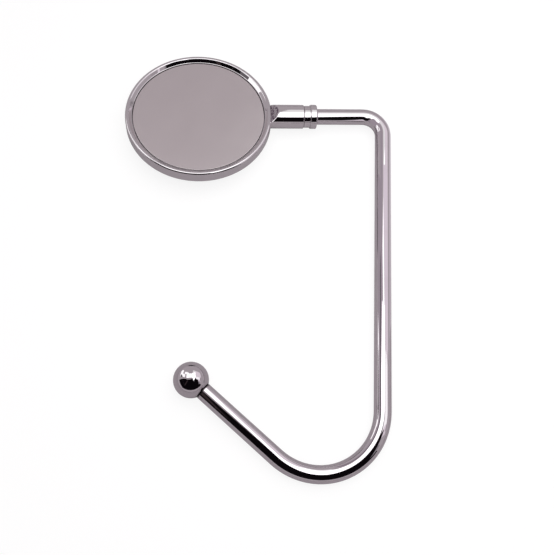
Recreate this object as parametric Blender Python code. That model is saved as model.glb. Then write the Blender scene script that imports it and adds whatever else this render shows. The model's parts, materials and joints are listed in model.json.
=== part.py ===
"""A purse hook: a round head that lies on a table top, and a bent rod that hangs below the edge.

The rod swivels in a barrel on the side of the head. The part lies on a table as it was photographed.
Two frames carry the pieces. The hook frame has its origin at the middle of the head on the neck's
axis, +X along the neck and the bent rod in its XY plane. The head frame is the same one, turned
about X by the angle at which the hook stands open. One empty lays both on the table.
"""

from math import atan2, cos, degrees, pi, radians, sin, sqrt, tan

import bmesh
import bpy
import numpy as np
from mathutils import Matrix, Vector

MM = 0.001

# Head: a shallow tray with a rounded bezel, in heights above and below the neck's axis.
head_radius = 22.5 * MM
bezel_width = 1.9 * MM
bezel_height = 1.9 * MM
bezel_crest_round = 0.5 * MM
bezel_slope = radians(45)
face_depth = 0.7 * MM
tray_floor = 1.9 * MM
back_recess = 0.4 * MM
back_edge_round = 0.6 * MM

# What is stuck to the head, front and back.
face_thickness = 0.8 * MM
face_film_thickness = 0.2 * MM
pad_inset = 3.0 * MM
pad_thickness = 1.9 * MM
pad_edge_round = 0.4 * MM
pad_film_thickness = 0.2 * MM
film_inset = 0.8 * MM
film_gap = 0.1 * MM
edge_gap = 0.3 * MM

# Barrel: the neck that holds the swivel. Its end is cut slantwise where it meets the bezel.
barrel_wall = 0.75 * MM
barrel_bury_share = 0.5
front_cut_run = 2.6 * MM
front_cut_angle = radians(31)
back_cut_angle = radians(45)
bore_floor = 0.5 * MM
mouth_bevel = 0.15 * MM

# Swivel: what stands in the bore, from its floor to its mouth. The radii grow from the journal out.
run_gap = 0.25 * MM
stack_gap = 0.15 * MM
journal_radius = 1.8 * MM
journal_bevel = 0.25 * MM
lining_wall = 0.6 * MM
tip_land = 0.4 * MM
clip_groove_depth = 0.45 * MM
clip_thickness = 0.4 * MM
clip_opening = radians(70)
wave_thickness = 0.2 * MM
wave_height = 0.3 * MM
wave_count = 3
washer_thickness = 0.3 * MM
bush_length = 2.0 * MM
bush_bevel = 0.12 * MM
spigot_length = 2.25 * MM

# Collar: the turned ring that closes the barrel's mouth, measured from the barrel's surface.
collar_groove_depth = 0.3 * MM
collar_groove_length = 1.9 * MM
bead_proud = 0.05 * MM
bead_length = 2.0 * MM
bead_round = 0.35 * MM

# Bent rod.
rod_radius = 2.4 * MM
rod_bevel = 0.2 * MM
arm_length = 14.35 * MM
corner_radius = 6.0 * MM
shank_lean = radians(5)
shank_length = 83.7 * MM
bend_radius = 17.6 * MM
bend_turn = radians(127.4)
tip_length = 30.4 * MM

# Ball on the rod's end, and the rod's spigot inside it.
ball_overhang = 2.5 * MM
spigot_radius_share = 0.64
spigot_depth_share = 0.83

# How the part lies: the hook opened a little from flat, resting on the pad, the ball and the bend.
open_angle = radians(8)
lie_pitch = radians(1.25)
lie_roll = radians(2.47)

# How finely the round shapes are cut.
head_steps = 84
barrel_steps = 48
rod_steps = 24
ball_rings = 14
round_steps = 4
corner_steps = 8
bend_steps = 20
smooth_angle = radians(32)
weld_distance = 0.001 * MM

# Worked out from the sizes above: heights in the head, along its own Z.
face_top = bezel_height - face_depth
face_bottom = face_top - face_thickness
face_film_top = face_bottom - film_gap
tray_top = face_film_top - face_film_thickness - film_gap
tray_bottom = tray_top - tray_floor
head_back = tray_bottom - back_recess
pad_film_top = tray_bottom - film_gap
pad_top = pad_film_top - pad_film_thickness - film_gap
bezel_round = bezel_width / 2
tray_radius = head_radius - bezel_width
plate_radius = tray_radius - edge_gap
pad_radius = head_radius - pad_inset
recess_radius = pad_radius + edge_gap

# Worked out round the neck's axis, from the journal outwards.
lining_radius = journal_radius + run_gap
fitted_radius = lining_radius + lining_wall
bore_radius = fitted_radius + run_gap
barrel_radius = bore_radius + barrel_wall
collar_groove_radius = barrel_radius - collar_groove_depth
bead_radius = barrel_radius + bead_proud

# Worked out along the neck, from the head's rim outwards.
cut_top_x = head_radius + front_cut_run
bore_floor_x = cut_top_x + bore_floor
journal_tip_x = bore_floor_x + run_gap
groove_start_x = journal_tip_x + tip_land
clip_x = groove_start_x + stack_gap
groove_end_x = clip_x + clip_thickness + stack_gap
wave_x = groove_end_x + wave_thickness / 2 + wave_height / 2
washer_x = wave_x + wave_thickness / 2 + wave_height / 2 + stack_gap
bush_x = washer_x + washer_thickness + stack_gap
spigot_x = bush_x + bush_length + stack_gap
mouth_x = spigot_x + spigot_length
collar_x = mouth_x + film_gap
bead_x = collar_x + collar_groove_length
collar_end_x = bead_x + bead_length
shoulder_x = collar_end_x + stack_gap

# Worked out at the rod's far end.
ball_radius = rod_radius + ball_overhang
ball_flat = sqrt(ball_radius**2 - rod_radius**2)
spigot_radius = rod_radius * spigot_radius_share
spigot_depth = ball_radius * spigot_depth_share


def arc(centre, radius, start, end, steps):
    """Points of an arc in a profile, as (across, along) pairs, angles from the across axis."""
    angles = np.linspace(start, end, steps + 1)
    return [(centre[0] + radius * cos(a), centre[1] + radius * sin(a)) for a in angles]


def finish(obj, colour, roughness, metallic):
    """Gives the object its own material, and smooth shading with sharp edges kept."""
    material = bpy.data.materials.new(obj.name)
    material.use_nodes = True
    shader = material.node_tree.nodes["Principled BSDF"]
    shader.inputs["Base Color"].default_value = (*colour, 1)
    shader.inputs["Roughness"].default_value = roughness
    shader.inputs["Metallic"].default_value = metallic
    obj.data.materials.append(material)
    obj.data.shade_smooth()
    obj.data.set_sharp_from_angle(angle=smooth_angle)
    return obj


def add(name, bm, parent, location=(0, 0, 0), along_x=False):
    """Makes an object of a bmesh under its parent. A piece turned about Z is laid along X on request."""
    bmesh.ops.recalc_face_normals(bm, faces=bm.faces)
    mesh = bpy.data.meshes.new(name)
    bm.to_mesh(mesh)
    bm.free()
    obj = bpy.data.objects.new(name, mesh)
    bpy.context.scene.collection.objects.link(obj)
    obj.parent = parent
    obj.location = location
    if along_x:
        obj.rotation_euler = (0, pi / 2, 0)
    return obj


def add_empty(name, parent, rotation=(0, 0, 0)):
    empty = bpy.data.objects.new(name, None)
    bpy.context.scene.collection.objects.link(empty)
    empty.parent = parent
    empty.rotation_euler = rotation
    return empty


def hide_helper(obj):
    obj.hide_render = True
    obj.display_type = "WIRE"
    return obj


def turned(profile, steps):
    """A solid of revolution about Z. The profile is a list of (radius, height) points.

    A profile that starts and ends on the axis closes there, and any other one is closed into a ring.
    """
    bm = bmesh.new()
    points = [bm.verts.new((radius, 0, height)) for radius, height in profile]
    for a, b in zip(points, points[1:]):
        bm.edges.new((a, b))
    if profile[0][0] > 0:
        bm.edges.new((points[-1], points[0]))
    bmesh.ops.spin(
        bm,
        geom=list(bm.verts) + list(bm.edges),
        axis=(0, 0, 1),
        cent=(0, 0, 0),
        angle=2 * pi,
        steps=steps,
        use_merge=True,
    )
    bmesh.ops.remove_doubles(bm, verts=bm.verts, dist=weld_distance)
    return bm


def ring(inner, outer, thickness, steps, bevel=0):
    """A flat ring about Z that stands on Z = 0, with its outer edges bevelled."""
    profile = [(inner, 0), (outer - bevel, 0), (outer, bevel)]
    profile += [(outer, thickness - bevel), (outer - bevel, thickness), (inner, thickness)]
    return turned(list(dict.fromkeys(profile)), steps)


def disc(radius, thickness, steps, edge_round=0):
    """A flat disc that stands on Z = 0, with its lower edge rounded."""
    profile = [(0, 0)]
    if edge_round:
        profile += arc((radius - edge_round, edge_round), edge_round, -pi / 2, 0, round_steps)
    else:
        profile.append((radius, 0))
    profile += [(radius, thickness), (0, thickness)]
    return turned(profile, steps)


def head_profile():
    """The tray from the middle of its floor, over the bezel and round the back to the middle again.

    The bezel falls to the tray in a cone, then in a short wall, and outwards in a quarter round.
    """
    crest_x = head_radius - bezel_round
    crest = (crest_x, bezel_height - bezel_crest_round)
    slope = arc(crest, bezel_crest_round, pi / 2 + bezel_slope, pi / 2, round_steps)
    slope_foot = slope[0][1] - (slope[0][0] - tray_radius) * tan(bezel_slope)
    outer = arc((crest_x, bezel_height - bezel_round), bezel_round, pi / 2, 0, round_steps)
    back_centre = (head_radius - back_edge_round, head_back + back_edge_round)
    back = arc(back_centre, back_edge_round, 0, -pi / 2, round_steps)
    floor = [(0, tray_top), (tray_radius, tray_top), (tray_radius, slope_foot)]
    recess = [(recess_radius, head_back), (recess_radius, tray_bottom), (0, tray_bottom)]
    return floor + slope + outer[1:] + back + recess


def cut_away(bm, point, normal):
    """Removes what lies on the normal's side of a plane and closes the cut."""
    everything = list(bm.verts) + list(bm.edges) + list(bm.faces)
    result = bmesh.ops.bisect_plane(
        bm, geom=everything, plane_co=point, plane_no=normal, clear_outer=True
    )
    edges = [item for item in result["geom_cut"] if isinstance(item, bmesh.types.BMEdge)]
    bmesh.ops.edgeloop_fill(bm, edges=edges)


def rod_between(radius, start_x, end_x, steps, bevel=0):
    """A round bar along X about the neck's axis, bevelled at its far end."""
    profile = [(0, start_x), (radius, start_x), (radius, end_x - bevel)]
    profile += [(radius - bevel, end_x), (0, end_x)]
    bm = turned(list(dict.fromkeys(profile)), steps)
    bmesh.ops.rotate(bm, verts=bm.verts, cent=(0, 0, 0), matrix=Matrix.Rotation(pi / 2, 3, "Y"))
    return bm


def boolean(obj, operation, other):
    modifier = obj.modifiers.new(other.name, "BOOLEAN")
    modifier.operation = operation
    modifier.object = hide_helper(other)


def make_head(head):
    """The casting: tray, bezel and barrel in one piece, with the swivel's bore in the barrel."""
    casting = add("head_casting", turned(head_profile(), head_steps), head)
    barrel_start_x = head_radius - bezel_width * barrel_bury_share
    barrel = rod_between(barrel_radius, barrel_start_x, mouth_x, barrel_steps, mouth_bevel)
    front_normal = (-sin(front_cut_angle), 0, cos(front_cut_angle))
    cut_away(barrel, (cut_top_x, 0, barrel_radius), front_normal)
    back_normal = (-sin(back_cut_angle), 0, -cos(back_cut_angle))
    cut_away(barrel, (head_radius, 0, head_back), back_normal)
    bore = rod_between(bore_radius, bore_floor_x, mouth_x + bore_radius, barrel_steps)
    boolean(casting, "UNION", add("barrel_body", barrel, head))
    boolean(casting, "DIFFERENCE", add("bore_cutter", bore, head))
    return finish(casting, (0.72, 0.69, 0.71), 0.05, 1)


def make_faces(head):
    """The plate and film in front, and the rubber pad and its film behind."""
    plate = add("face_plate", disc(plate_radius, face_thickness, head_steps), head, (0, 0, face_bottom))
    finish(plate, (0.40, 0.36, 0.38), 0.25, 1)
    film = disc(plate_radius - film_inset, face_film_thickness, barrel_steps)
    face_film = add("face_film", film, head, (0, 0, face_film_top - face_film_thickness))
    finish(face_film, (0.75, 0.73, 0.66), 0.6, 0)
    film = disc(pad_radius - film_inset, pad_film_thickness, barrel_steps)
    pad_film = add("pad_film", film, head, (0, 0, pad_film_top - pad_film_thickness))
    finish(pad_film, (0.75, 0.73, 0.66), 0.6, 0)
    rubber = disc(pad_radius, pad_thickness, head_steps, pad_edge_round)
    pad = add("grip_pad", rubber, head, (0, 0, pad_top - pad_thickness))
    finish(pad, (0.03, 0.03, 0.03), 0.7, 0)


def collar_profile():
    """The collar from its spigot's inner edge out over groove and bead, heights from the mouth."""
    start = spigot_x - collar_x
    groove_end = collar_groove_length
    end = groove_end + bead_length
    profile = [(lining_radius, start), (fitted_radius - bush_bevel, start)]
    profile += [(fitted_radius, start + bush_bevel), (fitted_radius, 0)]
    profile += [(collar_groove_radius, 0), (collar_groove_radius, groove_end)]
    rounding = min(bead_round, bead_radius - collar_groove_radius, bead_length / 2)
    low = (bead_radius - rounding, groove_end + rounding)
    high = (bead_radius - rounding, end - rounding)
    profile += arc(low, rounding, -pi / 2, 0, round_steps)
    profile += arc(high, rounding, 0, pi / 2, round_steps)
    profile.append((lining_radius, end))
    return profile


def make_neck(head):
    """What closes and lines the bore and stays with the head."""
    collar = add("end_collar", turned(collar_profile(), barrel_steps), head, (collar_x, 0, 0), True)
    finish(collar, (0.74, 0.71, 0.73), 0.05, 1)
    sleeve = ring(lining_radius, fitted_radius, bush_length, barrel_steps, bush_bevel)
    bush = add("swivel_bush", sleeve, head, (bush_x, 0, 0), True)
    finish(bush, (0.85, 0.84, 0.80), 0.45, 0)


def make_washers(swivel):
    """The flat washer, the wave washer and the clip, which turn with the journal."""
    flat = ring(lining_radius, fitted_radius, washer_thickness, barrel_steps)
    washer = add("thrust_washer", flat, swivel, (washer_x, 0, 0), True)
    finish(washer, (0.55, 0.55, 0.56), 0.3, 1)
    wave = add("wave_washer", wavy_ring(), swivel, (wave_x, 0, 0), True)
    finish(wave, (0.45, 0.46, 0.50), 0.3, 1)
    clip = add("retaining_clip", clip_shape(), swivel, (clip_x, 0, 0), True)
    finish(clip, (0.30, 0.30, 0.32), 0.35, 1)


def wavy_ring():
    """A ring whose height follows wave_count waves about Z = 0."""
    bm = bmesh.new()
    corners = ((lining_radius, -1), (fitted_radius, -1), (fitted_radius, 1), (lining_radius, 1))
    loops = []
    for angle in np.linspace(0, 2 * pi, barrel_steps, endpoint=False):
        middle = wave_height / 2 * sin(wave_count * angle)
        heights = [middle + side * wave_thickness / 2 for _, side in corners]
        radii = [radius for radius, _ in corners]
        loops.append([bm.verts.new((r * cos(angle), r * sin(angle), z)) for r, z in zip(radii, heights)])
    join_loops(bm, loops + loops[:1])
    return bm


def join_loops(bm, loops):
    """Faces between each loop of points and the next."""
    for first, second in zip(loops, loops[1:]):
        for i in range(len(first)):
            j = (i + 1) % len(first)
            bm.faces.new((first[i], first[j], second[j], second[i]))


def clip_shape():
    """An open ring that snaps into the journal's groove, its gap at one side."""
    bm = bmesh.new()
    inner = journal_radius - clip_groove_depth + stack_gap
    angles = np.linspace(clip_opening / 2, 2 * pi - clip_opening / 2, barrel_steps)
    loops = []
    for angle in angles:
        corners = ((inner, 0), (fitted_radius, 0), (fitted_radius, clip_thickness), (inner, clip_thickness))
        loops.append([bm.verts.new((r * cos(angle), r * sin(angle), z)) for r, z in corners])
    join_loops(bm, loops)
    bm.faces.new(loops[0])
    bm.faces.new(loops[-1])
    return bm


def journal_stations():
    """(x, radius) along the journal, from its tip to the rod's full width at the shoulder."""
    groove_radius = journal_radius - clip_groove_depth
    return [
        (journal_tip_x, journal_radius - journal_bevel),
        (journal_tip_x + journal_bevel, journal_radius),
        (groove_start_x, journal_radius),
        (groove_start_x, groove_radius),
        (groove_end_x, groove_radius),
        (groove_end_x, journal_radius),
        (shoulder_x, journal_radius),
        (shoulder_x, rod_radius - rod_bevel),
        (shoulder_x + rod_bevel, rod_radius),
    ]


def turn_points(point, heading, radius, angle, steps):
    """Points and headings along a clockwise bend, and where it ends."""
    centre = point + radius * Vector((sin(heading), -cos(heading)))
    stations = []
    for turned_by in np.linspace(0, angle, steps + 1):
        now = heading - turned_by
        stations.append((centre + radius * Vector((-sin(now), cos(now))), now))
    return stations


def rod_route():
    """The bent centreline: (point, heading) at each station from the corner to the ball's centre."""
    corner_turn = pi / 2 + shank_lean
    corner_start = Vector((shoulder_x + arm_length, 0))
    corner = turn_points(corner_start, 0, corner_radius, corner_turn, corner_steps)
    point, heading = corner[-1]
    bend_start = point + shank_length * Vector((cos(heading), sin(heading)))
    bend = turn_points(bend_start, heading, bend_radius, bend_turn, bend_steps)
    point, heading = bend[-1]
    ball_centre = point + tip_length * Vector((cos(heading), sin(heading)))
    return corner + bend, ball_centre, heading


def make_rod(swivel):
    """The bent rod in one piece, from the turned journal to the spigot that holds the ball."""
    route, ball_centre, heading = rod_route()
    stations = [(Vector((x, 0)), 0, radius) for x, radius in journal_stations()]
    stations += [(point, now, rod_radius) for point, now in route]
    ahead = Vector((cos(heading), sin(heading)))
    rod_end = ball_centre - (ball_flat + stack_gap) * ahead
    spigot_end = rod_end + spigot_depth * ahead
    for back, radius in ((rod_bevel, rod_radius), (0, rod_radius - rod_bevel), (0, spigot_radius)):
        stations.append((rod_end - back * ahead, heading, radius))
    stations.append((spigot_end - journal_bevel * ahead, heading, spigot_radius))
    stations.append((spigot_end, heading, spigot_radius - journal_bevel))
    bm = bmesh.new()
    loops = []
    for point, now, radius in stations:
        side = Vector((-sin(now), cos(now), 0))
        around = np.linspace(0, 2 * pi, rod_steps, endpoint=False)
        centre = Vector((*point, 0))
        loops.append(
            [bm.verts.new(centre + radius * (cos(a) * side + sin(a) * Vector((0, 0, 1)))) for a in around]
        )
    join_loops(bm, loops)
    bm.faces.new(loops[0])
    bm.faces.new(loops[-1])
    finish(add("hook_rod", bm, swivel), (0.70, 0.66, 0.69), 0.06, 1)


def make_ball(swivel):
    """The ball, with a flat and a blind hole for the rod's spigot. Its own Z points away from the rod."""
    _, centre, heading = rod_route()
    hole_radius = spigot_radius + run_gap
    hole_end = spigot_depth - ball_flat - stack_gap + run_gap
    profile = [(0, hole_end), (hole_radius, hole_end), (hole_radius, -ball_flat)]
    start = atan2(-ball_flat, rod_radius)
    profile += arc((0, 0), ball_radius, start, pi / 2, ball_rings)
    profile[-1] = (0, ball_radius)
    ball = add("ball_tip", turned(profile, rod_steps), swivel, (*centre, 0))
    ball.rotation_euler = (0, pi / 2, heading)
    finish(ball, (0.68, 0.64, 0.67), 0.05, 1)


def solids():
    return [obj for obj in bpy.context.scene.objects if obj.type == "MESH" and not obj.hide_render]


def lay_on_table(lying):
    """Moves the whole part so that the middle of its box's underside is at the origin."""
    bpy.context.view_layer.update()
    corners = np.array([obj.matrix_world @ v.co for obj in solids() for v in obj.data.vertices])
    low, high = corners.min(axis=0), corners.max(axis=0)
    lying.location = (-(low[0] + high[0]) / 2, -(low[1] + high[1]) / 2, -low[2])
    bpy.context.view_layer.update()
    print("box", np.round((high - low) / MM, 2))


def main():
    for obj in list(bpy.data.objects):
        bpy.data.objects.remove(obj)
    lying = add_empty("lying_pose", None, (lie_pitch, lie_roll, 0))
    head = add_empty("head_frame", lying, (-open_angle, 0, 0))
    swivel = add_empty("hook_swivel", lying)
    make_head(head)
    make_faces(head)
    make_neck(head)
    make_washers(swivel)
    make_rod(swivel)
    make_ball(swivel)
    lay_on_table(lying)
    print("neck ends at", round(collar_end_x / MM, 2), "mm, opened by", round(degrees(open_angle), 1))


main()
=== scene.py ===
# %% [markdown]
# # Dressing a purse hook
# A purse hook keeps a handbag off the floor. Its round head lies on a table top, and a bent rod
# that swivels in the head's neck hangs below the table's edge, with the bag in its bend. Here the
# hook lies flat, as in a shop's picture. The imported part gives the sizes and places. This lesson
# lays a fine surface over each piece that shows, and gives every piece its finish.

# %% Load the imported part
import json
from math import atan2, cos, degrees, pi, radians, sin, sqrt, tan

import bpy
import numpy as np
from mathutils import Matrix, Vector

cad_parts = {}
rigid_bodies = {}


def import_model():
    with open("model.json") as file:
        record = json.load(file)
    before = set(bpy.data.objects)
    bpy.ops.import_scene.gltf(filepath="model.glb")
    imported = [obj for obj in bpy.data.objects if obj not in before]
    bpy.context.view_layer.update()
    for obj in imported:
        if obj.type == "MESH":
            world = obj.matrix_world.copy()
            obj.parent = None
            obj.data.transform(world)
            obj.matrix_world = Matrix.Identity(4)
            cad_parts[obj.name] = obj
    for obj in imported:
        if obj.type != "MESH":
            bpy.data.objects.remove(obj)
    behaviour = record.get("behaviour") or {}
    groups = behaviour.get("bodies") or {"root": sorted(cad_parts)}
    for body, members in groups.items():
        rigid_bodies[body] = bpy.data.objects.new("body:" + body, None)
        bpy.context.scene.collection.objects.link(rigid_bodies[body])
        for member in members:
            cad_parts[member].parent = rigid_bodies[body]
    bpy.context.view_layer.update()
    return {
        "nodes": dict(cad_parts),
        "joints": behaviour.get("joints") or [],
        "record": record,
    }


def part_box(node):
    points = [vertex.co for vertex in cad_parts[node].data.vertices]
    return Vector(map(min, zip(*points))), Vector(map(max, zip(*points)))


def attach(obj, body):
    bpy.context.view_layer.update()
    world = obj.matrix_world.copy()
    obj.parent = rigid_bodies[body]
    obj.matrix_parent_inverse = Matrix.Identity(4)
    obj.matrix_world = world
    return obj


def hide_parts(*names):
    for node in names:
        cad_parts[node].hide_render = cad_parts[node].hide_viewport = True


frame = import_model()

MM = 0.001
print("nodes", sorted(frame["nodes"]))

# %% [markdown]
# ## Two sets of axes
# The head and the hook share the neck's axis, but each is turned about it by its own angle. So each
# gets its own axes: X along the neck, and Z straight up from the face plate or from the plane that
# the rod is bent in. Both start at the middle of the head. The swivel joint gives the neck's axis,
# the face plate's mount gives the head's Z, and the ball's place gives the hook's.

# %% Axes of the head and of the hook
joint = frame["joints"][0]
neck_axis = np.array(joint["axis"]) / np.linalg.norm(joint["axis"])
face_mount = next(m for m in frame["record"]["mounts"] if m["name"] == "face_plate_face")
joint_point = np.array(joint["pos_m"])
middle = joint_point + (np.array(face_mount["pos_m"]) - joint_point) @ neck_axis * neck_axis


def axes_with_up(up):
    """Rows X, Y and Z: X along the neck, Z the given direction made square to it, Y across both."""
    up = up - up @ neck_axis * neck_axis
    up = up / np.linalg.norm(up)
    return np.array([neck_axis, np.cross(up, neck_axis), up])


ball_centre = np.mean([np.array(corner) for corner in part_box("ball_tip")], axis=0)
head_axes = axes_with_up(np.array(face_mount["axis"]))
hook_axes = axes_with_up(np.cross(ball_centre - middle, neck_axis))
opened = degrees(atan2(head_axes[2] @ hook_axes[1], head_axes[2] @ hook_axes[2]))
print("middle of the head in mm", np.round(middle / MM, 2))
print("the head is turned by", round(opened, 2), "degrees against the hook")


def placed(points, axes):
    """Local points, whose last axis is x, y and z, as places in the scene."""
    return middle + points @ axes


# %% [markdown]
# ## Sizes from the part
# A surface that is laid over a solid has to fit it, so the main sizes are measured on the solids
# themselves: the head's radius is the greatest distance of its points from its own Z, and so on.
# Only what is too fine for the solids is given further down as a size of its own. One size differs:
# the bezel's reflections show that the real plate lies a little deeper than the solid one.

# %% Measure the part
past_cut = 3 * MM
plate_drop = 0.4 * MM
film_gap = 0.1 * MM


def measured(node, axes):
    """A node's points along the given axes, as three arrays counted from the head's middle."""
    mesh = frame["nodes"][node].data
    points = np.empty(3 * len(mesh.vertices))
    mesh.vertices.foreach_get("co", points)
    return ((points.reshape(-1, 3) - middle) @ axes.T).T


x, y, z = measured("head_casting", head_axes)
far_side = x < 0
head_radius = np.hypot(x, y)[far_side].max()
bezel_top, head_back = z[far_side].max(), z[far_side].min()
barrel_radius = np.hypot(y, z)[x > head_radius + past_cut].max()
mouth_x = x.max()
x, y, z = measured("face_plate", head_axes)
plate_radius, plate_top, plate_bottom = np.hypot(x, y).max(), z.max() - plate_drop, z.min()
tray_top = measured("face_film", head_axes)[2].min() - film_gap
x, y, z = measured("grip_pad", head_axes)
pad_radius, pad_top, pad_bottom = np.hypot(x, y).max(), z.max(), z.min()
x, y, z = measured("end_collar", head_axes)
collar_start_x, collar_end_x, bead_radius = x.min(), x.max(), np.hypot(y, z).max()
x, y, z = measured("swivel_bush", head_axes)
bush_inner, bush_outer = np.hypot(y, z).min(), np.hypot(y, z).max()
x, y, z = measured("retaining_clip", hook_axes)
clip_start_x, clip_end_x, clip_inner = x.min(), x.max(), np.hypot(y, z).min()
x, y, z = measured("hook_rod", hook_axes)
rod_radius = z.max()
journal_tip_x = x[np.hypot(y, z) < rod_radius].min()
x, y, z = measured("ball_tip", hook_axes)
ball_radius = (z.max() - z.min()) / 2
for name, size in {"head": head_radius, "plate": plate_radius, "barrel": barrel_radius,
                   "rod": rod_radius, "ball": ball_radius}.items():
    print("radius of the", name, round(size / MM, 3), "mm")

# %% [markdown]
# ## The camera
# The hook is seen from about two hands' breadths above the table, tilted a little. The camera looks
# at a point on the table, from a distance, a height angle and a turn, and its lens is shifted so
# that the frame takes in the whole hook.

# %% Camera
aim_on_table = np.array([-7.49, 7.842, 0]) * MM
camera_distance = 226.65 * MM
camera_height_angle = radians(68.422)
camera_turn = radians(1.573)
camera_roll = radians(0.461)
camera_lens = 48.985
camera_shift = (0.0748, -0.0874)
nearest, farthest = 10 * MM, 10

forward = np.array([sin(camera_turn) * cos(camera_height_angle),
                    cos(camera_turn) * cos(camera_height_angle),
                    -sin(camera_height_angle)])
level_right = np.array([cos(camera_turn), -sin(camera_turn), 0])
level_up = np.cross(level_right, forward)
right = cos(camera_roll) * level_right + sin(camera_roll) * level_up
pose = np.eye(4)
pose[:3, :3] = np.array([right, np.cross(right, forward), -forward]).T
pose[:3, 3] = aim_on_table - camera_distance * forward

camera = bpy.data.objects.new("camera", bpy.data.cameras.new("camera"))
bpy.context.scene.collection.objects.link(camera)
camera.data.lens = camera_lens
camera.data.shift_x, camera.data.shift_y = camera_shift
camera.data.clip_start, camera.data.clip_end = nearest, farthest
camera.matrix_world = Matrix(pose)
bpy.context.scene.camera = camera
bpy.context.scene.view_settings.view_transform = "Standard"
print("camera at", np.round(pose[:3, 3] / MM, 1), "mm")

# %% [markdown]
# ## Shader maths as Python
# A finish is a network of nodes, and a network reads best as the sum that it works out. A Socket
# stands for a number that changes over the surface, so mask * 0.2 + 0.05 adds the two Math nodes
# that it needs, and so does 1 - mask, because each operator has its reflected form.

# %% Socket
class Socket:
    """A node's output, which adds a Math node whenever it is summed, multiplied or compared."""

    def __init__(self, finish, output):
        self.finish, self.output = finish, output

    def maths(self, operation, first, second=0):
        settings = {"operation": operation}
        return self.finish.node("ShaderNodeMath", settings, {0: first, 1: second})

    def __add__(self, other):
        return self.maths("ADD", self, other)

    def __radd__(self, other):
        return self.maths("ADD", other, self)

    def __sub__(self, other):
        return self.maths("SUBTRACT", self, other)

    def __rsub__(self, other):
        return self.maths("SUBTRACT", other, self)

    def __mul__(self, other):
        return self.maths("MULTIPLY", self, other)

    def __rmul__(self, other):
        return self.maths("MULTIPLY", other, self)

    def __abs__(self):
        return self.maths("ABSOLUTE", self)

    def between(self, low, high):
        """0 below low, 1 above high, and a soft step between. High may be the lower one."""
        settings = {"interpolation_type": "SMOOTHSTEP"}
        inputs = {"Value": self, "From Min": low, "From Max": high}
        return self.finish.node("ShaderNodeMapRange", settings, inputs)


# %% [markdown]
# Any other node is added in one way: its type, then its settings, then the values or links of its
# sockets. Materials and the world both have such a network. A Finish is a material that also knows
# the noise, the blend of two colours and the bump that nearly every surface needs.

# %% Network and Finish
class Network:
    """The nodes of a material or of the world."""

    def __init__(self, owner):
        owner.use_nodes = True
        self.tree = owner.node_tree

    def plug(self, socket, value):
        if isinstance(value, Socket):
            self.tree.links.new(value.output, socket)
        else:
            socket.default_value = value

    def node(self, kind, settings=None, inputs=None, output=0):
        """Adds a node: its settings first, then the values or links of its sockets."""
        node = self.tree.nodes.new(kind)
        for name, value in (settings or {}).items():
            setattr(node, name, value)
        for name, value in (inputs or {}).items():
            self.plug(node.inputs[name], value)
        return Socket(self, node.outputs[output])


class Finish(Network):
    """A material with its own network and the shader that the network feeds."""

    def __init__(self, name):
        self.material = bpy.data.materials.new(name)
        super().__init__(self.material)
        self.shader = self.tree.nodes["Principled BSDF"]
        self.place = self.node("ShaderNodeTexCoord", None, None, "Object")

    def surface(self, **values):
        """Sets the shader's own sockets. An underscore stands for the space in a socket's name."""
        for name, value in values.items():
            self.plug(self.shader.inputs[name.replace("_", " ")], value)
        return self.material

    def noise(self, size, detail=2, stretch=(1, 1, 1)):
        """Soft patches about as wide as the size, in metres, from 0 to 1 about a half."""
        scaled = self.node("ShaderNodeMapping", None, {"Vector": self.place, "Scale": stretch})
        inputs = {"Vector": scaled, "Scale": 1 / size, "Detail": detail, "Roughness": 0.55}
        return self.node("ShaderNodeTexNoise", None, inputs)

    def blend(self, mask, below, above):
        """One colour where the mask is 0 and the other where it is 1. Either may be a link."""
        below, above = (c if isinstance(c, Socket) else (*c, 1) for c in (below, above))
        return self.node("ShaderNodeMix", {"data_type": "RGBA"}, {0: mask, 6: below, 7: above}, 2)

    def bump(self, height, depth):
        """A bump from a height of 0 to 1, as deep as the depth, in metres."""
        return self.node("ShaderNodeBump", None, {"Height": height, "Distance": depth})


# %% [markdown]
# ## The studio
# Bright plating has no colour pattern of its own: what is seen in it is the room. The hook was lit
# by one wide white panel close above it, in a grey tent, with a dark opening towards the camera's
# side and paler walls left and right. The bands in the chrome are the panels of this studio, which
# are seen in reflections only. The table and the room are plain white to the camera and grey to the
# plating, with a share of that white added.

# %% Table and room
room_grey = (0.42, 0.375, 0.40)
share_of_white_in_gloss = 0.1
table_grey = (0.33, 0.305, 0.32)
table_glow, table_shade = 0.86, 0.155


def white_share(finish):
    """1 for what the camera sees or sees through, and a share of it for what plating reflects."""
    seen = finish.node("ShaderNodeLightPath", None, None, "Is Camera Ray")
    through = finish.node("ShaderNodeLightPath", None, None, "Is Transmission Ray")
    glossy = finish.node("ShaderNodeLightPath", None, None, "Is Glossy Ray")
    return seen + through + glossy * share_of_white_in_gloss


table_finish = Finish("table_white")
glow = table_finish.node("ShaderNodeEmission", None, {"Strength": table_glow})
shade = table_finish.node("ShaderNodeBsdfDiffuse", None, {"Color": (table_shade,) * 3 + (1,)})
seen_table = table_finish.node("ShaderNodeAddShader", None, {0: glow, 1: shade})
plain_table = table_finish.node("ShaderNodeBsdfDiffuse", None, {"Color": (*table_grey, 1)})
table_mix = table_finish.node(
    "ShaderNodeMixShader", None, {0: white_share(table_finish), 1: plain_table, 2: seen_table})
table_output = table_finish.tree.nodes["Material Output"]
table_finish.plug(table_output.inputs["Surface"], table_mix)

bpy.context.scene.world = bpy.data.worlds.new("room")
room = Network(bpy.context.scene.world)
grey_room = room.node("ShaderNodeBackground", None, {"Color": (*room_grey, 1)})
white_room = room.node("ShaderNodeBackground", None, {"Color": (1, 1, 1, 1)})
room_mix = room.node(
    "ShaderNodeMixShader", None, {0: white_share(room), 1: grey_room, 2: white_room})
room.plug(room.tree.nodes["World Output"].inputs["Surface"], room_mix)
print("nodes of the table:", len(table_finish.tree.nodes), "and of the room:", len(room.tree.nodes))

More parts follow.
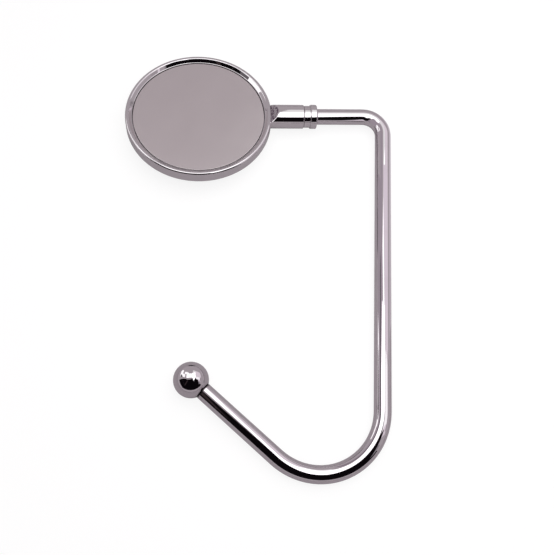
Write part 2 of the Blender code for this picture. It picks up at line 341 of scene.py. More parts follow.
# %% [markdown]
# A panel is a flat card with an even glow. It is a stage piece, hidden from the camera and without
# a shadow, so only the plating shows it. A card can be clear from behind, so that one side of the
# hook sees it and the other sees through it.

# %% Cards
def card(name, corners, radiance, clear_from_behind=False):
    """A flat card through the given corners, in millimetres, which only reflections see."""
    points = [tuple(value * MM for value in corner) for corner in corners]
    mesh = bpy.data.meshes.new(name)
    mesh.from_pydata(points, [], [range(len(points))])
    obj = bpy.data.objects.new(name, mesh)
    bpy.context.scene.collection.objects.link(obj)
    finish = Finish(name)
    glow = finish.node("ShaderNodeEmission", None, {"Color": (*radiance, 1)})
    if clear_from_behind:
        behind = finish.node("ShaderNodeNewGeometry", None, None, "Backfacing")
        clear = finish.node("ShaderNodeBsdfTransparent")
        glow = finish.node("ShaderNodeMixShader", None, {0: behind, 1: glow, 2: clear})
    finish.plug(finish.tree.nodes["Material Output"].inputs["Surface"], glow)
    mesh.materials.append(finish.material)
    obj.visible_camera = obj.visible_diffuse = obj.visible_shadow = False
    obj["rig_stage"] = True
    print(name, "glows at", radiance)


def level_card(name, height, corners, radiance):
    """A card that hangs level at a height, through the x and y of its corners."""
    card(name, [(x, y, height) for x, y in corners], radiance)


def wall_card(name, across, corners, radiance, clear_from_behind=False):
    """A card that stands upright at one x, through the y and z of its corners."""
    card(name, [(across, y, z) for y, z in corners], radiance, clear_from_behind)


# %% [markdown]
# Most cards hang level, like the ceiling of a tent, and a lower one hides what it covers of a
# higher one. The white panel is the main light. On its right the tent is pale, and on its left
# stands a white wall. The shaded foot of that wall and a grey end far on the right let the bezel's
# black band end softly.

# %% The panel and its walls
ceiling = 185
white, soft_white = (2, 2, 2), (1.5, 1.5, 1.5)
level_card("white_panel", ceiling, [
    (-105, -30), (20, -30), (38, -86), (54, -84), (72, -38), (86, -18), (92, -5), (92, 60),
    (106, 118), (60, 105), (0, 62), (-60, 66), (-105, 62)], white)
level_card("panel_fringe", ceiling + 1, [
    (-5, 60), (35, 100), (45, 200), (130, 200), (120, 110)], (1, 1, 1))
level_card("pale_wall", ceiling + 2, [
    (90, -70), (420, -150), (420, 260), (130, 200), (90, 100)], (0.92, 0.84, 0.90))
level_card("right_white", ceiling + 1, [
    (100, -50), (330, -80), (330, 0), (105, 0)], (1.3, 1.3, 1.3))
wall_card("left_wall", -150, [
    (-4, 190), (-4, 50), (50, 50), (72, 38), (125, 50), (125, 98), (58, 100), (58, 190)],
    soft_white)
wall_card("wall_shade", -149.5, [
    (-8, 58), (24, 58), (30, 78), (14, 100), (-8, 112)], (0.16, 0.145, 0.155))
level_card("wall_end", ceiling - 0.5, [(298, -105), (425, -130), (425, 12), (298, 12)], room_grey)
level_card("left_wing", ceiling + 1, [
    (-60, 64), (-104, 60), (-180, 80), (-180, 170), (-104, 125), (-60, 92)], soft_white)

# %% [markdown]
# The shank is mauve on its left and lavender on its right. A grey wall between the head and the
# shank gives the mauve, with a dark strip for the thin dark line. Both are clear from behind,
# because the head doesn't show them. Two low cards on the right give the lavender and a paler
# stretch of table.

# %% Cards beside the shank
wall_card("near_wall", 16, [
    (-130, 33), (-130, 13), (-22, 13), (-12, 7.5), (34, 7.5), (36, 30), (90, 30), (90, 75),
    (38, 75), (34, 184), (18, 184), (10, 100), (0, 62), (-12, 48), (-30, 33)],
    (0.42, 0.37, 0.41), clear_from_behind=True)
wall_card("near_dark_strip", 16.2, [
    (-130, 22), (0, 22), (10, 25), (5, 29), (-130, 30)],
    (0.06, 0.05, 0.06), clear_from_behind=True)
level_card("low_lavender", 14, [
    (37, 29), (35.8, 5), (35.6, -16), (50, -16), (50, 29)], (0.90, 0.82, 0.89))
level_card("bright_table", 0.3, [
    (41.5, -22), (120, -40), (120, 80), (41.5, 60)], (0.70, 0.65, 0.69))

# %% [markdown]
# The dark opening for the lens gives every black band. Its edge towards the panel is a half shade,
# one streak in it is a little less dark, and its far corners are only dim. Two dark walls, at the
# front and on the left, close it below.

# %% The dark opening
black = (0.004, 0.003, 0.004)
level_card("half_shade", ceiling - 2, [
    (-105, -26), (12, -24), (24, -46), (-30, -62), (-105, -60)], (0.42, 0.38, 0.40))
level_card("lens_streak", ceiling - 2, [
    (-72, -88), (-88, -76), (-215, -225), (-190, -240)], (0.045, 0.032, 0.034))
level_card("lens_opening", ceiling - 1, [
    (-230, -30), (-105, -45), (-22, -32), (20, -30), (38, -84), (54, -82), (72, -36), (90, -25),
    (105, -52), (185, -70), (200, -110), (320, -262), (-230, -262)], black)
level_card("dim_left", ceiling + 1, [
    (-230, -30), (-230, -262), (-420, -262), (-420, -90)], (0.13, 0.12, 0.13))
level_card("dim_right", ceiling + 1, [
    (105, -75), (420, -215), (420, -262), (262, -262)], (0.3, 0.28, 0.3))
wall_card("dark_left", -232, [(-262, 184), (-262, 57), (-40, 57), (-30, 184)], black)
card("dark_front", [(-300, -262, 184), (420, -262, 184), (420, -262, 57), (-300, -262, 57)], black)

# %% [markdown]
# The table is lit by a wide soft lamp, which the plating doesn't show because the cards stand for
# it there, and by a faint even sun. Together they keep the hook's soft shadow on the table. A
# lamp's power is its radiance times pi times its area.

# %% Lamps and table
lamp_width = 215 * MM
lamp_radiance = 2
lamp_place = (38 * MM, 25 * MM, 185 * MM)
sun_strength, sun_spread = 0.6, radians(60)

overhead = bpy.data.lights.new("overhead", "AREA")
overhead.shape = "DISK"
overhead.size = lamp_width
overhead.energy = lamp_radiance * pi * pi / 4 * lamp_width**2
lamp = bpy.data.objects.new("overhead", overhead)
lamp.location = lamp_place
lamp.visible_glossy = lamp.visible_camera = False
bpy.context.scene.collection.objects.link(lamp)

even_sun = bpy.data.objects.new("even_light", bpy.data.lights.new("even_light", "SUN"))
even_sun.data.energy, even_sun.data.angle = sun_strength, sun_spread
even_sun.visible_glossy = False
bpy.context.scene.collection.objects.link(even_sun)

table_reach = 900 * MM
table_mesh = bpy.data.meshes.new("table")
corners = [(-table_reach, -table_reach, 0), (table_reach, -table_reach, 0),
           (table_reach, table_reach, 0), (-table_reach, table_reach, 0)]
table_mesh.from_pydata(corners, [], [(0, 1, 2, 3)])
table = bpy.data.objects.new("table", table_mesh)
table_mesh.materials.append(table_finish.material)
bpy.context.scene.collection.objects.link(table)
table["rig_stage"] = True
staged = [obj.name for obj in bpy.data.objects if "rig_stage" in obj]
print("the stage has", len(staged), "pieces, and one of them is the table")

# %% [markdown]
# ## From arrays to meshes
# Every surface here is a stack of rings: a grid of points whose rows follow the piece from one end
# to the other and whose columns run round it. The grid gives the faces, a fan of triangles closes
# each end, and the sign of the volume says whether the faces point outwards.

# %% Skin over rings
def skin(name, rings, body, material, looped=False, sharp=60):
    """A closed mesh over an array of rings (rows, points round, 3), in scene coordinates.

    A face joins each point to the next one round and to the same two of the next row. With looped
    the last row joins the first; otherwise a fan about each end row's middle closes it.
    """
    rows, around = rings.shape[:2]
    joined_rows = rows if looped else rows - 1
    row, column = np.meshgrid(np.arange(joined_rows), np.arange(around), indexing="ij")
    next_row, next_column = (row + 1) % rows, (column + 1) % around
    corner = [row * around + column, row * around + next_column,
              next_row * around + next_column, next_row * around + column]
    faces = np.stack(corner, axis=-1).reshape(-1, 4)
    points = rings.reshape(-1, 3)
    fans = np.empty((0, 3), int)
    if not looped:
        points = np.vstack([points, rings[0].mean(axis=0), rings[-1].mean(axis=0)])
        here, beside = np.arange(around), (np.arange(around) + 1) % around
        last = (rows - 1) * around
        start_fan = np.stack([here * 0 + rows * around, beside, here], axis=-1)
        end_fan = np.stack([here * 0 + rows * around + 1, last + here, last + beside], axis=-1)
        fans = np.vstack([start_fan, end_fan])
    a, b, c, d = (points[faces[:, i]] for i in range(4))
    volume = (np.cross(a, b) * c).sum() + (np.cross(a, c) * d).sum()
    volume += (np.cross(points[fans[:, 0]], points[fans[:, 1]]) * points[fans[:, 2]]).sum()
    if volume < 0:
        faces, fans = faces[:, ::-1], fans[:, ::-1]
    mesh = bpy.data.meshes.new(name)
    mesh.from_pydata(points.tolist(), [], faces.tolist() + fans.tolist())
    mesh.shade_smooth()
    mesh.set_sharp_from_angle(angle=radians(sharp))
    mesh.materials.append(material)
    obj = bpy.data.objects.new(name, mesh)
    bpy.context.scene.collection.objects.link(obj)
    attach(obj, body)
    triangles, contents = len(faces) * 2 + len(fans), abs(volume) / 6 / MM**3
    print(name, "has", triangles, "triangles and", round(contents, 1), "mm3")
    return obj


# %% [markdown]
# A turned piece is drawn as half of its section, the way a lathe cuts it. Its corners are rounded
# with small arcs, because a perfectly sharp edge catches no light and looks false. Beside each arc
# stands one more point close by, which keeps the flat next to it flat in smooth shading. The same
# small distance keeps the ends of a section off its axis.

# %% Sections and turning
hold = 0.04 * MM


def rounded(corners, radii, steps=8):
    """A section through the corners, each one rounded by its radius; 0 keeps it sharp.

    Each arc runs about the point at radius / sin(half the corner's angle) along the bisector, and
    starts and ends where it touches the corner's two sides.
    """
    corners = np.array(corners, float)
    points = [corners[0]]
    for i, radius in enumerate(radii, start=1):
        corner = corners[i]
        back, ahead = corners[i - 1] - corner, corners[i + 1] - corner
        back, ahead = back / np.linalg.norm(back), ahead / np.linalg.norm(ahead)
        if radius == 0:
            points += [corner + back * hold, corner, corner + ahead * hold]
            continue
        half = np.arccos(np.clip(back @ ahead, -1, 1)) / 2
        centre = corner + (back + ahead) / np.linalg.norm(back + ahead) * radius / sin(half)
        touch = radius / np.tan(half)
        first, last = corner + back * touch - centre, corner + ahead * touch - centre
        sweep = pi - 2 * half
        t = np.linspace(0, 1, steps + 1)[:, None]
        arc = centre + (np.sin((1 - t) * sweep) * first + np.sin(t * sweep) * last) / sin(sweep)
        points += [corner + back * (touch + hold), *arc, corner + ahead * (touch + hold)]
    points.append(corners[-1])
    return np.array(points)


def arc_points(centre, radius, start, end, steps):
    """Points of an arc in a section, as (out, along) pairs, angles from the outward direction."""
    angle = np.linspace(start, end, steps + 1)
    return np.array(centre) + radius * np.stack([np.cos(angle), np.sin(angle)], axis=-1)


def turned(section, steps, about="z"):
    """Rings of a section turned about an axis: out runs round in cos and sin, along stays."""
    angle = np.linspace(0, 2 * pi, steps, endpoint=False)
    out, along = section[:, :1], section[:, 1:] + 0 * angle
    across, beside = out * np.cos(angle), out * np.sin(angle)
    order = [across, beside, along] if about == "z" else [along, across, beside]
    return np.stack(order, axis=-1)


print("a rounded corner takes", len(rounded([(0, 0), (1, 0), (1, 1)], [0.2])) - 2, "points")


# %% [markdown]
# ## Bright plating
# The head, the collar, the rod and the ball are polished, then plated with nickel and chrome. Such
# a layer is a mirror, but not a perfect one. It has a faint slow ripple left by the polishing, hair
# scratches from handling, and smudges that dull it in patches. The hairs are where a noise crosses
# its middle value, broken up by a second noise.

# %% Hair scratches
def hairs(finish, size, width):
    """Thin curved lines: the places where a noise is within the width of its middle."""
    distance = abs(finish.noise(size, 1) - 0.5)
    return distance.between(width, 0) * finish.noise(size * 3, 1).between(0.52, 0.62)


# %% [markdown]
# Two places are different. The slanting cut at the neck's root was left rough as it was cast, and
# its colour is a dark purple there. The narrow joints at the plate and at the ball get painted
# shade, where shade falls in the gaps. A mesh can say where, point by point, with an attribute
# from 0 to 1 that the finish reads.

# %% Plating
ripple_size, smudge_size, speck_size = 4 * MM, 7 * MM, 0.25 * MM
scratch_size, fine_scratch_size = 5 * MM, 2.3 * MM
dulling, smudge_roughness = 0.9, 0.05
grain_size, dark_patch_size = 0.45 * MM, 0.7 * MM
dark_cut_tint, cast_depth = (0.16, 0.11, 0.16), 0.05 * MM
# A dark tint for the painted shade in the narrow joints.
joint_shade_tint = (0.03, 0.02, 0.025)


def plating(name, tint, ripple_depth, left_as_cast=False, shaded_joints=False):
    """Bright plating: rough and dark purple on the slanting cut, and darkened by painted shade in
    the joints.
    """
    finish = Finish(name)
    smudges = finish.noise(smudge_size, 4).between(0.45, 0.75)
    scratches = hairs(finish, scratch_size, 0.004) + hairs(finish, fine_scratch_size, 0.006)
    specks = finish.noise(speck_size, 1).between(0.74, 0.8)
    dull = tuple(dulling * value for value in tint)
    colour = finish.blend(smudges * 0.5 + specks * 0.4, tint, dull)
    roughness = 0.03 + smudges * smudge_roughness + scratches * 0.08 + specks * 0.15
    height = finish.noise(ripple_size, 1) + scratches * 0.02 + specks * 0.03
    if left_as_cast:
        rough = finish.node("ShaderNodeAttribute", {"attribute_name": "as_cast"}, None, "Fac")
        grain = finish.noise(grain_size, 3)
        dark_patches = finish.noise(dark_patch_size, 2).between(0.45, 0.6)
        # On the slanting cut the colour turns to a dark purple, more in some patches than in
        # others.
        colour = finish.blend(rough * (0.35 + dark_patches * 0.65), colour, dark_cut_tint)
        roughness = roughness + rough * 0.22
        height = height + rough * grain * (cast_depth / ripple_depth)
    if shaded_joints:
        # Painted shade: the colour is darkened in the narrow joints, where shade falls in the gaps.
        # The roughness rises there too.
        joint_shade = finish.node("ShaderNodeAttribute", {"attribute_name": "painted_joint_shade"}, None, "Fac")
        colour = finish.blend(joint_shade, colour, joint_shade_tint)
        roughness = roughness + joint_shade * 0.3
    ripple = finish.bump(height, ripple_depth)
    return finish.surface(Base_Color=colour, Metallic=1, Roughness=roughness, Normal=ripple)


def mark(piece, name, values):
    """Gives the piece an attribute: values ring by ring, and 0 for the middles of its ends."""
    attribute = piece.data.attributes.new(name, "FLOAT", "POINT")
    attribute.data.foreach_set("value", np.append(values, [0, 0]))
    covered = 100 * float(np.mean(values))
    print(name, "covers", round(covered, 1), "% of the points of", piece.name)


# %% [markdown]
# The same recipe serves every plated piece. Each has its own tint, a little darker on the ball, and
# its own depth of ripple, because a turned collar is truer than a ball polished by hand.

# %% Plated finishes
casting_tint, collar_tint = (0.72, 0.69, 0.71), (0.74, 0.71, 0.73)
rod_tint, ball_tint = (0.71, 0.67, 0.70), (0.69, 0.65, 0.68)
plated_casting = plating("plated_casting", casting_tint, 0.004 * MM, shaded_joints=True)
plated_neck = plating("plated_neck", casting_tint, 0.004 * MM, left_as_cast=True)
plated_collar = plating("plated_collar", collar_tint, 0.002 * MM)
plated_rod = plating("plated_rod", rod_tint, 0.004 * MM, shaded_joints=True)
plated_ball = plating("plated_ball", ball_tint, 0.006 * MM, shaded_joints=True)
plated = [plated_casting, plated_neck, plated_collar, plated_rod, plated_ball]
print(len(plated), "plated finishes, with", [len(m.node_tree.nodes) for m in plated], "nodes")

# %% [markdown]
# ## The head
# The head is a zinc casting: a shallow round tray with a rounded bezel. Seen in section it is one
# line, from the middle of the tray's floor over the bezel and round the back, so it is turned. The
# bezel falls to the tray in a polished cone, and outwards in a quarter round. A small cove at the
# cone's foot leads to a lip beside the plate, and the cove's curve gathers the white line there.

# %% Section of the head
bezel_round = 0.68 * MM
crest_round = 0.65 * MM
bezel_slope = radians(50)
cove_round = 0.3 * MM
cove_lip = 0.3 * MM
cove_radius = plate_radius + 0.1 * MM
tray_radius = plate_radius + 0.3 * MM
back_edge_round = 0.6 * MM
recess_radius = pad_radius + 0.3 * MM
recess_depth = 0.4 * MM
inner_round = 0.12 * MM
crest_steps, outer_steps = 32, 48

crest_x = head_radius - bezel_round
top = pi / 2
crest_middle = (crest_x, bezel_top - crest_round)
crest = arc_points(crest_middle, crest_round, top + bezel_slope, top, crest_steps)
outer = arc_points((crest_x, bezel_top - bezel_round), bezel_round, top, 0, outer_steps)
slope_foot = crest[0, 0] - (crest[0, 1] - plate_top) / tan(bezel_slope)
floor = rounded(
    [(hold, tray_top), (tray_radius, tray_top), (tray_radius, plate_top - cove_lip),
     (cove_radius, plate_top - cove_lip), (cove_radius, plate_top), (slope_foot, plate_top),
     crest[0]],
    [inner_round, 0, 0, 0, cove_round])
back = rounded(
    [outer[-1] - [0, hold], (head_radius, head_back), (recess_radius, head_back),
     (recess_radius, head_back + recess_depth), (hold, head_back + recess_depth)],
    [back_edge_round, inner_round, inner_round])
section = np.vstack([floor[:-1], crest, outer[1:], back])
print("the head's section has", len(section), "points")
print("the bezel's cone comes down to the plate's level at", round(slope_foot / MM, 2), "mm")

# %% [markdown]
# Shade falls in the gap between the lip and the plate, so the tray is marked with painted shade up
# to just past the lip. The rest of it is not darkened.

# %% Head shell
around_head = 360
lip_shade_reach = 0.15 * MM
lip_shade_strength = 0.6

head_rings = placed(turned(section, around_head), head_axes)
head_shell = skin("head_shell", head_rings, "head", plated_casting)
past_lip = floor[:-1, 0] - cove_radius
# Painted shade: the tray is darkened up to the lip, and the darkening fades out just past it.
lip_shade = np.zeros(len(section))
lip_shade[:len(past_lip)] = lip_shade_strength * np.clip(1 - past_lip / lip_shade_reach, 0, 1)
mark(head_shell, "painted_joint_shade", np.repeat(lip_shade, around_head))
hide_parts("head_casting")

# %% [markdown]
# The neck is a round barrel cast in one with the tray. A plane cuts its root slantwise down to the
# bezel, and another one cuts it from behind. In any direction from the neck's axis, the barrel ends
# at the least of three distances: its own radius and the two planes. A soft least of them rounds
# the edges where they meet, and that thin rounded edge is the bright line at the neck's root.

# %% Neck barrel
cut_top_x = head_radius + 2.2 * MM
cut_slope = 0.98
back_cut_x = head_radius + head_back
buried_x = head_radius - 0.8 * MM
edge_softness = 0.25 * MM
mouth_round = 0.25 * MM
bore_radius = bush_outer + 0.25 * MM
bore_floor_x = journal_tip_x - 0.25 * MM
around_neck = 240
rows_before, rows_during, rows_after = 14, 24, 11
least_rise = 0.05


def soft_least(a, b, softness):
    """The lesser of two distances, with the crease between them rounded over the softness."""
    share = np.clip(0.5 + 0.5 * (b - a) / softness, 0, 1)
    return b * (1 - share) + a * share - softness * share * (1 - share)


def barrel_rings():
    """The barrel's outside row by row, then its mouth, its bore and the bore's floor.

    The rows are packed about the cut's edge, whose place along the neck changes round the barrel.
    With them goes a grid that is 1 on the slanting cut, left as it was cast, and 0 elsewhere.
    """
    angle = np.linspace(0, 2 * pi, around_neck, endpoint=False)[None, :]
    rise = np.cos(angle)
    front_edge = cut_top_x - barrel_radius * (1 - rise) / cut_slope
    back_edge = back_cut_x + barrel_radius * -rise
    edge = np.maximum(np.maximum(front_edge, back_edge), buried_x + edge_softness)
    before = np.linspace(0, 1, rows_before)[:, None]
    during = np.linspace(-1, 1, rows_during + 1)[1:, None]
    after = np.linspace(0, 1, rows_after + 1)[1:, None]
    low, high = edge - edge_softness, edge + edge_softness
    x = np.vstack([
        buried_x + (low - buried_x) * before,
        edge + edge_softness * during,
        high + (mouth_x - 2 * mouth_round - high) * after,
    ])
    front = (barrel_radius + (x - cut_top_x) * cut_slope) / np.maximum(rise, least_rise)
    back = (x - back_cut_x) / np.maximum(-rise, least_rise)
    radius = soft_least(barrel_radius, np.where(rise > 0, front, back), edge_softness)
    outside = np.stack([x, radius * np.sin(angle), radius * rise], axis=-1)
    lip = rounded(
        [(barrel_radius, mouth_x - 2 * mouth_round), (barrel_radius, mouth_x),
         (bore_radius, mouth_x), (bore_radius, bore_floor_x), (hold, bore_floor_x)],
        [mouth_round, inner_round, inner_round])
    out, along = lip[1:, :1], lip[1:, 1:] + 0 * angle
    inside = np.stack([along, out * np.sin(angle), out * rise], axis=-1)
    cast = np.where(rise > 0, np.clip((barrel_radius - front) / edge_softness - 0.5, 0, 1), 0)
    return np.vstack([outside, inside]), np.vstack([cast, 0 * along])


# %% [markdown]
# The grid of the cut goes into the mesh as an attribute, and the plating is rough where it says so.

# %% Neck from its rings
rings, cast = barrel_rings()
neck_barrel = skin("neck_barrel", placed(rings, head_axes), "head", plated_neck)
mark(neck_barrel, "as_cast", cast)
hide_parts("head_casting")

# %% [markdown]
# ## The face plate
# The disc in the tray is a plain metal plate with a satin face. It is cut from sheet, so its edge
# is nearly sharp. Its face has a grain too fine to see as lines, which only softens what it
# reflects. It is a hair smaller than its seat, and the gap shows as a thin dark line.

# %% Satin finish
def satin(name, tint):
    """A fine satin: a close stipple, with slow patches where the rubbing was stronger."""
    finish = Finish(name)
    stipple = finish.noise(0.06 * MM, 2)
    patches = finish.noise(9 * MM, 3)
    dust = finish.noise(0.3 * MM, 1).between(0.76, 0.82)
    paler = tuple(min(1, 1.05 * value) for value in tint)
    return finish.surface(
        Base_Color=finish.blend(patches * 0.7 + dust * 0.3, tint, paler),
        Metallic=1,
        Roughness=0.26 + patches * 0.08 + stipple * 0.05 + dust * 0.2,
        Normal=finish.bump(stipple, 0.0008 * MM),
    )


# %% Face plate
plate_tint = (0.72, 0.67, 0.675)
plate_edge_round = 0.1 * MM
disc_radius = plate_radius - 0.12 * MM
section = rounded(
    [(hold, plate_bottom), (disc_radius, plate_bottom),
     (disc_radius, plate_top), (hold, plate_top)],
    [plate_edge_round, plate_edge_round], steps=4)
disc_rings = placed(turned(section, around_head), head_axes)
front_disc = skin("front_disc", disc_rings, "head", satin("satin_plate", plate_tint))
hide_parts("face_plate")

# %% [markdown]
# ## The collar
# A turned brass ring closes the barrel. Its spigot goes into the bore and holds the swivel's bush,
# and outside it has a groove and a bead. Turned work has crisp but broken edges.

# %% Collar
groove_radius = barrel_radius - 0.3 * MM
collar_face_x = mouth_x + 0.1 * MM
bead_x = collar_face_x + 1.9 * MM
bead_round = 0.3 * MM
broken_edge = 0.13 * MM
section = rounded(
    [(bush_inner, collar_start_x + 2 * hold), (bush_inner, collar_start_x),
     (bush_outer, collar_start_x), (bush_outer, collar_face_x), (groove_radius, collar_face_x),
     (groove_radius, bead_x), (bead_radius, bead_x), (bead_radius, collar_end_x),
     (bush_inner, collar_end_x), (bush_inner, collar_start_x + 4 * hold)],
    [0, broken_edge, 0, broken_edge, broken_edge, bead_round, bead_round, broken_edge])
collar_rings = placed(turned(section, around_neck, "x"), head_axes)
end_ring = skin("end_ring", collar_rings, "head", plated_collar, looped=True)
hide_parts("end_collar")

# %% [markdown]
# ## The bent rod
# The rod is bent cold from steel bar round two formers. Its path is best told by its heading,
# which stays along a straight stretch and turns at a steady rate round a bend. Steel springs back a
# little at the ends of a bend, so the turn starts and ends gently: the heading is averaged over a
# window of an odd number of steps. Summing small steps in that heading gives the path, and a circle
# carried along it gives the rod.

# %% Path of the rod
shoulder_x = collar_end_x + 0.15 * MM
arm_length = 14.35 * MM
corner_radius = 6.0 * MM
shank_lean = radians(5)
shank_length = 83.7 * MM
bend_radius = 17.6 * MM
bend_turn = radians(127.4)
tip_length = 30.4 * MM
path_step = 0.05 * MM
gentle_length = 1.6 * MM

corner_turn = pi / 2 + shank_lean
whole_turn = corner_turn + bend_turn
corner_length, bend_length = corner_radius * corner_turn, bend_radius * bend_turn
knots = np.cumsum([0, arm_length, corner_length, shank_length, bend_length, tip_length])
turned_by = np.array([0, 0, corner_turn, corner_turn, whole_turn, whole_turn])
steps_along = round(knots[-1] / path_step)
along = (np.arange(steps_along) + 0.5) * knots[-1] / steps_along
window = round(gentle_length / path_step) | 1
sharp_turn = np.interp(along, knots, turned_by)
padded = np.pad(sharp_turn, window // 2, mode="edge")
heading = -np.convolve(padded, np.full(window, 1 / window), mode="valid")
step = knots[-1] / steps_along
path = np.cumsum(np.stack([np.cos(heading), np.sin(heading)], axis=-1) * step, axis=0)
path = np.vstack([[0, 0], path]) + [shoulder_x, 0]
heading = np.concatenate([heading[:1], (heading[1:] + heading[:-1]) / 2, heading[-1:]])
along = np.linspace(0, knots[-1], steps_along + 1)
ball_place = path[-1]
miss = np.linalg.norm((ball_centre - middle) @ hook_axes[:2].T - ball_place)
print("the path ends", round(miss / MM, 3), "mm from the middle of the part's ball")

# %% [markdown]
# Before its shoulder the rod is turned down to a journal, which runs in the bush, with a groove for
# the clip that keeps it in. At the far end it is turned down to a spigot that goes into the ball.

# %% Radius of the rod along its path
running_gap = 0.25 * MM
side_gap = 0.15 * MM
joint_gap = 0.18 * MM
joint_edge_round = 0.05 * MM
end_round = 0.25 * MM
shoulder_round = 0.2 * MM
spigot_radius = 0.64 * rod_radius
spigot_depth = 0.83 * ball_radius
ball_flat = sqrt(ball_radius**2 - rod_radius**2)
rod_rows = 520

journal_radius = bush_inner - running_gap
groove = (clip_start_x - side_gap, clip_end_x + side_gap)
groove_floor = clip_inner - side_gap
journal = rounded(
    [(hold, journal_tip_x), (journal_radius, journal_tip_x), (journal_radius, groove[0]),
     (groove_floor, groove[0]), (groove_floor, groove[1]), (journal_radius, groove[1]),
     (journal_radius, shoulder_x), (rod_radius, shoulder_x),
     (rod_radius, shoulder_x + 2 * shoulder_round)],
    [end_round, 0, 0, 0, 0, 0, shoulder_round], steps=6)
end_at = knots[-1] - ball_flat - joint_gap
spigot = rounded(
    [(rod_radius, end_at - 2 * shoulder_round), (rod_radius, end_at), (spigot_radius, end_at),
     (spigot_radius, end_at + spigot_depth), (hold, end_at + spigot_depth)],
    [joint_edge_round, 0, end_round], steps=6)
plain = np.linspace(journal[-1, 1] - shoulder_x, spigot[0, 1], rod_rows)[1:-1]
radius = np.concatenate([journal[:, 0], np.full(len(plain), rod_radius), spigot[:, 0]])
place_along = np.concatenate([journal[:, 1] - shoulder_x, plain, spigot[:, 1]])
print("the rod has", len(radius), "rings from", round(place_along[0] / MM, 2), "mm along its path")

# %% [markdown]
# A ring at each place along the path makes the rod. A ring before the shoulder lies straight behind
# the path's start. The rod's last stretch is marked with painted shade, as is the rim that it goes
# into, because shade falls in the joint between them.

# %% Bent rod
around_rod = 128
joint_shade_reach, joint_shade_fade = 0.22 * MM, 0.12 * MM

centre = np.stack([np.interp(place_along, along, path[:, i]) for i in range(2)], axis=-1)
centre[:, 0] += np.minimum(place_along, 0)
turn = np.interp(place_along, along, heading)


def tube(centre, turn, radius, around):
    """Rings about a flat path: a circle's cos goes to the side of the heading, and its sin up."""
    angle = np.linspace(0, 2 * pi, around, endpoint=False)
    sideways = np.stack([-np.sin(turn), np.cos(turn)], axis=-1)
    side = (radius[:, None] * np.cos(angle))[..., None] * sideways[:, None]
    rise = radius[:, None] * np.sin(angle)
    return np.concatenate([centre[:, None] + side, rise[..., None]], axis=-1)


rod_rings = placed(tube(centre, turn, radius, around_rod), hook_axes)
bent_rod = skin("bent_rod", rod_rings, "hook", plated_rod)
# Painted shade in the joint: the rod is darkened over its last stretch before the ball.
near_end = np.clip((place_along - end_at + joint_shade_reach) / joint_shade_fade, 0, 1)
mark(bent_rod, "painted_joint_shade", np.repeat(near_end, around_rod))
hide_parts("hook_rod")

# %% [markdown]
# ## The ball
# The ball keeps the straps from slipping off. It is bored and flattened where the rod goes in, and
# the joint between the two shows as a thin dark line of painted shade. The ball is turned about its
# bore, and then its own axes are laid along the rod's last heading. How far a point lies past the
# rim, over the ball's surface, is its distance along the bore times the ball's slope there.

# %% Ball
hole_radius = spigot_radius + running_gap
hole_end = spigot_depth - ball_flat - joint_gap + running_gap
flat_edge_round = 0.06 * MM
ball_steps = 192
around_ball = 192

bore = rounded(
    [(hold, hole_end), (hole_radius, hole_end),
     (hole_radius, -ball_flat), (rod_radius, -ball_flat)],
    [inner_round, flat_edge_round], steps=4)
sphere = arc_points((0, 0), ball_radius, atan2(-ball_flat, rod_radius), pi / 2, ball_steps)
section = np.vstack([bore[:-1], sphere[:-1], [(hold, ball_radius)]])
local = turned(section, around_ball)
ahead = np.array([cos(heading[-1]), sin(heading[-1]), 0])
side = np.array([-sin(heading[-1]), cos(heading[-1]), 0])
ball_points = local @ np.array([side, [0, 0, 1], ahead]) + [*ball_place, 0]
ball_end = skin("ball_end", placed(ball_points, hook_axes), "hook", plated_ball, sharp=40)
# Painted shade in the joint: the ball is darkened near the rim that the rod goes into.
past_rim = (section[:, 1] + ball_flat) * ball_radius / rod_radius
past_rim[:len(bore)] = 0
near_rim = np.clip((joint_shade_reach - past_rim) / joint_shade_fade, 0, 1)
mark(ball_end, "painted_joint_shade", np.repeat(near_rim, around_ball))
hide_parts("ball_tip")

# %% [markdown]
# ## The rubber pad
# A rubber disc on the back grips the table top. Moulded rubber is matt and finely stippled, with a
# soft edge, and it picks up pale dust.

# %% Rubber pad
def rubber(name):
    """Black rubber: a fine stipple with pale dust caught in it."""
    finish = Finish(name)
    stipple = finish.noise(0.18 * MM, 3)
    dusty = finish.noise(2.5 * MM, 5).between(0.55, 0.8)
    dust = dusty * finish.noise(0.12 * MM, 1).between(0.5, 0.7)
    black_rubber, dusty_rubber = (0.018, 0.018, 0.019), (0.09, 0.085, 0.085)
    return finish.surface(
        Base_Color=finish.blend(dust * 0.5 + stipple * 0.2, black_rubber, dusty_rubber),
        Roughness=0.62 + stipple * 0.2,
        Normal=finish.bump(stipple, 0.03 * MM),
    )


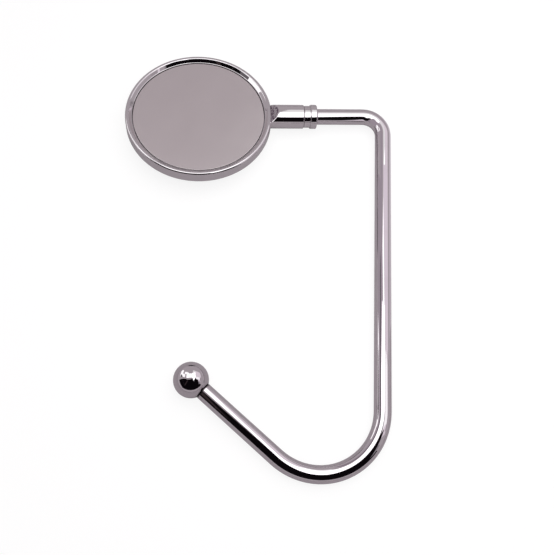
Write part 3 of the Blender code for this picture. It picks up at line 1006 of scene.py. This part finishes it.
pad_round = 0.4 * MM
section = rounded(
    [(hold, pad_bottom), (pad_radius, pad_bottom), (pad_radius, pad_top), (hold, pad_top)],
    [pad_round, inner_round])
pad_rings = placed(turned(section, around_head), head_axes)
rubber_pad = skin("rubber_pad", pad_rings, "head", rubber("pad_rubber"))
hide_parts("grip_pad")

# %% [markdown]
# ## What is hidden
# The films, the bush, the washers and the clip are right as solids, so they keep their meshes and
# only get a finish. They show when the hook is taken apart.

# %% Finishes of the hidden pieces
def film(name):
    """Double-sided adhesive film: cream, with a fibrous carrier inside."""
    finish = Finish(name)
    lengthwise = finish.noise(0.5 * MM, 4, (1, 6, 1))
    crosswise = finish.noise(0.5 * MM, 4, (6, 1, 1))
    fibres = lengthwise * 0.5 + crosswise * 0.5
    return finish.surface(
        Base_Color=finish.blend(fibres, (0.62, 0.60, 0.52), (0.80, 0.78, 0.71)),
        Roughness=0.5 + fibres * 0.2,
        Normal=finish.bump(fibres, 0.01 * MM),
    )


def nylon(name):
    """Natural nylon: ivory and waxy, with faint lines from its mould."""
    finish = Finish(name)
    cloud = finish.noise(1.5 * MM, 3)
    return finish.surface(
        Base_Color=finish.blend(cloud, (0.78, 0.76, 0.70), (0.87, 0.86, 0.82)),
        Roughness=0.38 + cloud * 0.15,
        Normal=finish.bump(finish.noise(0.2 * MM, 2), 0.004 * MM),
    )


def blank_steel(name, tint):
    """Stamped steel: lines from the rolled sheet and a rubbed, uneven shine."""
    finish = Finish(name)
    rolled = finish.noise(0.4 * MM, 3, (1, 8, 1))
    rubbed = finish.noise(1.2 * MM, 3)
    darker = tuple(0.75 * value for value in tint)
    return finish.surface(
        Base_Color=finish.blend(rubbed, tint, darker),
        Metallic=1,
        Roughness=0.25 + rolled * 0.15 + rubbed * 0.1,
        Normal=finish.bump(rolled, 0.004 * MM),
    )


carried = {
    "face_film": film("adhesive_film"),
    "swivel_bush": nylon("natural_nylon"),
    "thrust_washer": blank_steel("washer_steel", (0.55, 0.55, 0.56)),
    "wave_washer": blank_steel("spring_steel", (0.40, 0.41, 0.44)),
}
carried["pad_film"] = carried["face_film"]
carried["retaining_clip"] = carried["wave_washer"]
for node, material in carried.items():
    frame["nodes"][node].data.materials.clear()
    frame["nodes"][node].data.materials.append(material)
print("finished as they are:", ", ".join(carried))
